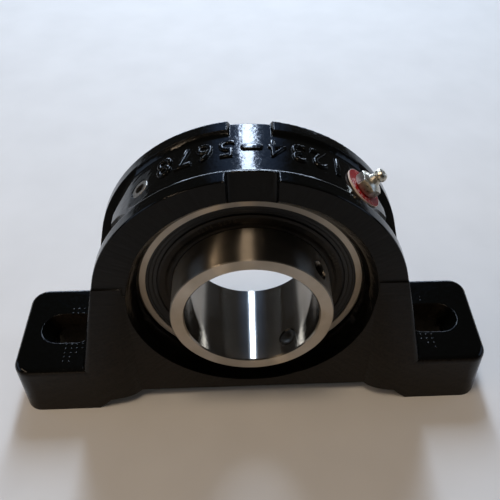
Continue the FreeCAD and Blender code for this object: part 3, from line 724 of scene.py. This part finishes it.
@dataclass
class CastDots:
    """Small raised dots cast on a foot's top beside its slot.

    Each row is the distance of its outermost dot from the middle of the block, its
    depth and how many dots it has.
    """

    side: Side
    rows: tuple[tuple[float, float, int], ...]
    pitch: float = 2.8
    radius: float = 0.65
    height: float = 0.4
    smooth_degrees: float = 80.0

    def build(self) -> bpy.types.Object:
        """Sets one flat dome at each place of each row.

        Returns:
            The joined dots.
        """
        pieces = []
        for start, depth, count in self.rows:
            for index in range(count):
                deselect()
                bpy.ops.mesh.primitive_uv_sphere_add(segments=10, ring_count=6, radius=self.radius * MM)
                dot = bpy.context.object
                bpy.ops.transform.resize(value=(1, 1, self.height / self.radius))
                across = self.side.value * (start - index * self.pitch)
                set_in_place(dot, Matrix.Translation((across * MM, depth * MM, FOOT_TOP * MM)))
                pieces.append(dot)
        whole = join(pieces, f"cast_dots_{self.side.name.lower()}")
        close_mesh(whole, self.smooth_degrees)
        return whole


@dataclass
class SetScrew:
    """A set screw with a rolled thread, a hexagonal socket and a cup point."""

    angle: float
    length: float = 5.5
    root_r: float = 4.2
    pitch: float = 1.06
    key: float = 4.76
    key_depth: float = 2.8
    cup_r: float = 2.9
    cup_depth: float = 1.0
    end_bevel: float = 0.35
    cup_narrowing: float = 0.6
    run_out: float = 0.6
    ridge_share: float = 0.56
    ridge_lift: float = 0.02
    steps_per_turn: int = 36

    def core(self) -> bpy.types.Object:
        """Models the root cylinder with its bevelled ends, its socket and its cup.

        Returns:
            The core, with its outer end at the origin and its length along -Z.
        """
        deselect()
        bpy.ops.mesh.primitive_cylinder_add(vertices=48, radius=self.root_r * MM, depth=self.length * MM,
                                            location=(0, 0, -self.length / 2 * MM))
        core = bpy.context.object
        pick_faces(core, lambda face: len(face.vertices) > 4)
        bpy.ops.mesh.bevel(offset=self.end_bevel * MM, segments=2, affect="EDGES")
        bpy.ops.object.mode_set(mode="OBJECT")
        lowest = min(vertex.co.z for vertex in core.data.vertices)
        pick_faces(core, lambda face: abs(face.center.z - lowest) < 1e-6)
        bpy.ops.mesh.inset(thickness=(self.root_r - self.end_bevel - self.cup_r) * MM, depth=0)
        bpy.ops.mesh.inset(thickness=self.cup_r * self.cup_narrowing * MM, depth=-self.cup_depth * MM)
        bpy.ops.object.mode_set(mode="OBJECT")
        deselect()
        bpy.ops.mesh.primitive_cylinder_add(vertices=6, radius=self.key / math.sqrt(3) * MM,
                                            depth=2 * self.key_depth * MM)
        cutter = bpy.context.object
        apply_modifier(core, "BOOLEAN", object=cutter, operation="DIFFERENCE", solver="EXACT")
        bpy.data.objects.remove(cutter)
        return core

    def thread(self) -> bpy.types.Object:
        """Winds one thread ridge round the core.

        Returns:
            The ridge as a closed coil.
        """
        turns = (self.length - 2 * self.run_out) / self.pitch
        steps = int(self.steps_per_turn * turns)
        deselect()
        bpy.ops.mesh.primitive_circle_add(vertices=3, radius=self.pitch * self.ridge_share * MM,
                                          fill_type="NGON")
        ridge = bpy.context.object
        bpy.ops.object.mode_set(mode="EDIT")
        # The triangle's point looks outwards, its foot is sunk in the core
        bpy.ops.transform.rotate(value=-math.pi / 2, orient_axis="Z", center_override=(0, 0, 0))
        bpy.ops.transform.rotate(value=math.pi / 2, orient_axis="X", center_override=(0, 0, 0))
        bpy.ops.transform.translate(value=((self.root_r + self.ridge_lift) * MM, 0,
                                           -(self.length - self.run_out) * MM))
        bpy.ops.object.mode_set(mode="OBJECT")
        apply_modifier(ridge, "SCREW", angle=2 * math.pi * turns, screw_offset=self.pitch * turns * MM,
                       steps=steps, render_steps=steps, iterations=1, use_merge_vertices=True, axis="Z")
        select_only(ridge)
        bpy.ops.object.mode_set(mode="EDIT")
        bpy.ops.mesh.select_all(action="DESELECT")
        bpy.ops.mesh.select_mode(type="EDGE")
        bpy.ops.mesh.select_non_manifold(extend=False)
        bpy.ops.mesh.edge_face_add()
        bpy.ops.object.mode_set(mode="OBJECT")
        return ridge

    def build(self, number: int) -> bpy.types.Object:
        """Joins core and thread and sets the screw in its hole.

        Args:
            number: Which of the two screws this is.

        Returns:
            The finished screw.
        """
        screw = join([self.core(), self.thread()], f"threaded_setscrew_{number}")
        close_mesh(screw)
        set_in_place(screw, around_bore(self.angle, SCREW_DEPTH, SCREW_TOP))
        return screw


@dataclass
class CastBlock:
    """The block with its front opening as it was cast: higher and further right than the seat.

    The opening narrows from a circle in the front face to the round step before the seat.
    """

    front: float = -21.5
    front_radius: float = 57.2
    shift_right: float = 1.2
    shift_up: float = 5.6
    step: float = -14.0
    step_radius: float = 56.1
    past_front: float = 4.0
    sides: int = 180
    smooth_degrees: float = 30.0

    def build_cutter(self) -> bpy.types.Object:
        """Models what is taken out: a leaning cone that reaches past the front face.

        Returns:
            The cutter, in its place.
        """
        depth = self.step - self.front + self.past_front
        share = depth / (self.step - self.front)
        far_radius = self.step_radius + share * (self.front_radius - self.step_radius)
        deselect()
        bpy.ops.mesh.primitive_cone_add(vertices=self.sides, radius1=far_radius * MM,
                                        radius2=self.step_radius * MM, depth=depth * MM)
        cutter = bpy.context.object
        pick_faces(cutter, lambda face: len(face.vertices) > 4 and face.center.z < 0)
        bpy.ops.transform.translate(value=(share * self.shift_right * MM, -share * self.shift_up * MM, 0))
        bpy.ops.object.mode_set(mode="OBJECT")
        place = Matrix.Translation((0, (self.step - depth / 2) * MM, 0))
        set_in_place(cutter, place @ Matrix.Rotation(-math.pi / 2, 4, "X"))
        return cutter

    def build(self) -> bpy.types.Object:
        """Cuts the opening in a copy of the solid block.

        Returns:
            The block with its wider opening.
        """
        cutter = self.build_cutter()
        select_only(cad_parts["housing"])
        bpy.ops.object.duplicate()
        block = bpy.context.object
        block.name = "cast_block"
        bpy.ops.mesh.customdata_custom_splitnormals_clear()
        close_mesh(block, self.smooth_degrees)
        apply_modifier(block, "BOOLEAN", object=cutter, operation="DIFFERENCE", solver="EXACT")
        bpy.data.objects.remove(cutter)
        close_mesh(block, self.smooth_degrees)
        apply_modifier(block, "WEIGHTED_NORMAL", keep_sharp=True, weight=100)
        return block


@dataclass
class Housing:
    """The cast block, its two feet and what is cast on them."""

    finishes: Finishes
    left_rows: tuple[tuple[float, float, int], ...] = (
        (89.4, 13.0, 1), (95.0, 13.0, 2), (95.0, 9.95, 3), (94.9, -11.05, 4), (94.8, -13.65, 4),
        (94.8, -16.3, 3), (94.9, -19.0, 2), (94.8, -21.7, 2))
    right_rows: tuple[tuple[float, float, int], ...] = (
        (92.3, 14.8, 1), (92.2, 12.1, 1), (93.1, -11.6, 3), (93.0, -14.4, 3), (93.2, -17.15, 2),
        (93.6, -19.85, 1))

    def dress_nodes(self) -> None:
        """Paints the solid under the block and finishes the plug in its left flat."""
        dress(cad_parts["housing"], self.finishes.enamel)
        dress(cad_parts["pipe_plug"], self.finishes.dull_zinc)

    def build(self) -> None:
        """Adds the block with its cast opening, the numerals and the dots."""
        block = CastBlock().build()
        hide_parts("housing")
        mount(block, "block", self.finishes.enamel)
        mount(CastNumerals().build(), "block", self.finishes.small_enamel)
        for side, rows in ((Side.LEFT, self.left_rows), (Side.RIGHT, self.right_rows)):
            mount(CastDots(side, rows).build(), "block", self.finishes.small_enamel)
        self.dress_nodes()


@dataclass
class GreaseFitting:
    """The grease fitting on the right spot face, with its red disc."""

    finishes: Finishes
    print_text: str = "12345"
    print_starts: tuple[float, float] = (150.0, 330.0)
    print_step: float = 17.0
    print_height: float = 2.2
    print_radius: float = 8.2
    print_rise: float = 0.02

    def build(self) -> None:
        """Finishes the fitting's pieces and prints the disc."""
        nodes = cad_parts
        dress(nodes["fitting_body"], self.finishes.zinc)
        dress(nodes["fitting_ball"], self.finishes.ball)
        dress(nodes["fitting_spring"], self.finishes.drawn)
        dress(nodes["fitting_washer"], self.finishes.fibre)
        face = around_bore(FITTING_ANGLE, 0.0, DISC_TOP)
        for number, start in enumerate(self.print_starts, 1):
            marks = FlatMarks(f"disc_print_{number}", self.print_text, self.print_height, self.print_radius,
                              start, self.print_step, self.print_rise, face)
            mount(marks.build(), "block", self.finishes.print)


@dataclass
class BearingInsert:
    """The rings, balls, cage, seals, flingers and set screws."""

    finishes: Finishes
    flinger_face: float = -9.81
    marks: tuple[tuple[str, float], ...] = (("1234-5678", -33.0), ("24680", 62.0))
    mark_height: float = 2.3
    mark_radius: float = 41.9
    mark_step: float = 3.0
    mark_rise: float = 0.01

    def dress_nodes(self) -> None:
        """Gives each solid of the insert its finish."""
        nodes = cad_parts
        kinds = {"inner_ring": self.finishes.ground, "outer_ring": self.finishes.outer_ground,
                 "seal_front": self.finishes.nitrile, "seal_rear": self.finishes.nitrile,
                 "flinger_front": self.finishes.sheet, "flinger_rear": self.finishes.sheet,
                 "cage_front": self.finishes.cage, "cage_rear": self.finishes.cage,
                 "locking_pin": self.finishes.drawn, "setscrew_1": self.finishes.oxide,
                 "setscrew_2": self.finishes.oxide}
        for name, material in kinds.items():
            dress(nodes[name], material)
        for name, node in nodes.items():
            if name.startswith("ball_"):
                dress(node, self.finishes.ball)

    def build(self) -> None:
        """Adds the threaded screws and the flinger's marks, and dresses the rest."""
        self.dress_nodes()
        for number, angle in enumerate(SCREW_ANGLES, 1):
            screw = SetScrew(angle).build(number)
            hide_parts(f"setscrew_{number}")
            mount(screw, f"screw_{number}", self.finishes.oxide)
        front = Matrix.Translation((0, self.flinger_face * MM, 0)) @ Matrix.Rotation(math.pi / 2, 4, "X")
        for number, (text, start) in enumerate(self.marks, 1):
            marks = FlatMarks(f"flinger_marks_{number}", text, self.mark_height, self.mark_radius, start,
                              self.mark_step, self.mark_rise, front)
            mount(marks.build(), "inner", self.finishes.etched)


# Scene

@dataclass(frozen=True)
class Lamp:
    """One soft rectangular lamp, with its sizes in metres.

    Its radiance is how bright its face looks, where 1 is a white surface.
    """

    name: str
    place: tuple[float, float, float]
    size: tuple[float, float]
    radiance: float
    colour: str
    target: tuple[float, float, float] = (0.0, 0.0, 0.0)

    def hang(self) -> None:
        """Adds the lamp to the scene, aimed at its target."""
        light = bpy.data.lights.new(self.name, "AREA")
        light.shape = "RECTANGLE"
        light.size, light.size_y = self.size
        light.energy = self.radiance * math.pi * self.size[0] * self.size[1]
        light.color = linear(self.colour)[:3]
        holder = bpy.data.objects.new(self.name, light)
        bpy.context.scene.collection.objects.link(holder)
        aim = Vector(self.target) - Vector(self.place)
        turn = aim.to_track_quat("-Z", "Y").to_matrix().to_4x4()
        holder.matrix_world = Matrix.Translation(self.place) @ turn


@dataclass
class Studio:
    """The plain floor, the soft lamps and the photograph's camera."""

    floor_size: float = 6.0
    floor_colour: str = "#cfccc7"
    floor_shade: str = "#cac7c2"
    floor_cloud_mm: float = 40.0
    sky_colour: str = "#3c3b3a"
    glow_colour: str = "#9cc2ff"
    glow_place: tuple[float, float, float] = (0.0, 0.848, 0.53)
    glow_edge: float = 0.93

    def build_floor(self) -> None:
        """Lays a large pale floor under the block."""
        deselect()
        bpy.ops.mesh.primitive_plane_add(size=self.floor_size, location=(0, 0, CAD_BOX[0][2]))
        floor = bpy.context.object
        floor.name = "floor"
        # Matt paper: pale and even, with hardly any sheen
        surface = Surface("matt_paper_floor", self.floor_colour, 0.8)
        cloud = surface.add("TexNoise", inputs={"Vector": surface.coords,
                                                "Scale": per_metre(self.floor_cloud_mm)})
        surface.set("Base Color", surface.tint(cloud.outputs[0], self.floor_shade, self.floor_colour))
        surface.set("Specular IOR Level", 0.2)
        dress(floor, surface.material)

    def build_lamps(self) -> None:
        """Hangs the lamps, each for what it gives the eye."""
        # The window behind: the white streak in the bore and on the land, and its soft sides
        Lamp("back_window", (0.0, 0.86, 0.80), (0.12, 0.80), 46.0, "#d6e8ff").hang()
        Lamp("back_curtain", (0.0, 0.87, 0.81), (0.22, 0.90), 2.2, "#a9ccff").hang()
        # A low band behind: the bright outlines of the numerals
        Lamp("back_band", (0.0, 1.9, 0.22), (1.8, 0.26), 13.0, "#d6e8ff").hang()
        # Three tubes overhead: the warm lines on top of the inner ring
        for number, across in enumerate((-0.196, -0.096, 0.004), 1):
            Lamp(f"top_tube_{number}", (across, -0.20, 1.2), (0.045, 0.40), 26.0, "#ffe9cf",
                 target=(across, 0.0, 0.0)).hang()
        # Low in front: the warm line along the left foot's front edge
        Lamp("front_strip", (-0.40, -0.95, 0.25), (0.25, 0.25), 2.5, "#ffe4c4").hang()
        # A tube at the left: the second warm streak on the inner ring
        Lamp("left_tube", (-0.85, -0.25, 0.90), (0.80, 0.06), 18.0, "#ffe4c4").hang()
        # Soft fill on both flanks
        Lamp("left_box", (-1.0, 0.15, 0.40), (0.7, 0.4), 1.5, "#b9d2f6").hang()
        Lamp("right_box", (1.0, 0.15, 0.40), (0.7, 0.4), 1.5, "#b9d2f6").hang()

    def build_room(self) -> None:
        """Makes the dim room, with a soft bluish glow high at the back."""
        world = bpy.data.worlds.new("plain_room")
        bpy.context.scene.world = world
        world.use_nodes = True
        tree = world.node_tree
        toward = add_node(tree, "TexCoord").outputs["Generated"]
        along = add_node(tree, "VectorMath", {"operation": "DOT_PRODUCT"}, {0: toward, 1: self.glow_place})
        near = add_node(tree, "MapRange", {"interpolation_type": "SMOOTHERSTEP"},
                        {"Value": along.outputs["Value"], "From Min": self.glow_edge, "From Max": 1.0})
        colour = add_node(tree, "Mix", {"data_type": "RGBA"},
                          {0: near.outputs[0], 6: linear(self.sky_colour), 7: linear(self.glow_colour)})
        tree.links.new(colour.outputs[2], tree.nodes["Background"].inputs["Color"])

    def build_camera(self) -> None:
        """Puts the camera where the photograph was taken from."""
        yaw, down, roll = CAMERA_YAW, CAMERA_DOWN, CAMERA_ROLL
        forward = Vector((math.sin(yaw) * math.cos(down), math.cos(yaw) * math.cos(down), -math.sin(down)))
        level_right = Vector((math.cos(yaw), -math.sin(yaw), 0.0))
        level_up = level_right.cross(forward)
        right = math.cos(roll) * level_right + math.sin(roll) * level_up
        up = -math.sin(roll) * level_right + math.cos(roll) * level_up
        turn = Matrix((right, up, -forward)).transposed().to_4x4()
        lens = bpy.data.cameras.new("photo_camera")
        lens.sensor_width = 36.0
        lens.lens = FOCAL_PX / FRAME_PX * lens.sensor_width
        lens.shift_x = (FRAME_PX / 2 - CENTRE_PX[0]) / FRAME_PX
        lens.shift_y = (CENTRE_PX[1] - FRAME_PX / 2) / FRAME_PX
        lens.clip_start = 0.01
        camera = bpy.data.objects.new("photo_camera", lens)
        bpy.context.scene.collection.objects.link(camera)
        camera.matrix_world = Matrix.Translation(Vector(CAMERA_PLACE) * MM) @ turn
        bpy.context.scene.camera = camera

    def build(self) -> None:
        """Sets the whole stage."""
        self.build_floor()
        self.build_lamps()
        self.build_room()
        self.build_camera()
        bpy.context.scene.view_settings.view_transform = "Standard"


def main() -> None:
    """Builds every sub-assembly in order, then the stage."""
    logging.basicConfig(level=logging.INFO, format="%(name)s: %(message)s")
    finishes = Finishes()
    for part in (Housing(finishes), GreaseFitting(finishes), BearingInsert(finishes)):
        part.build()
        log.info("%s is built", type(part).__name__)
    Studio().build()


if __name__ == "__main__":
    main()
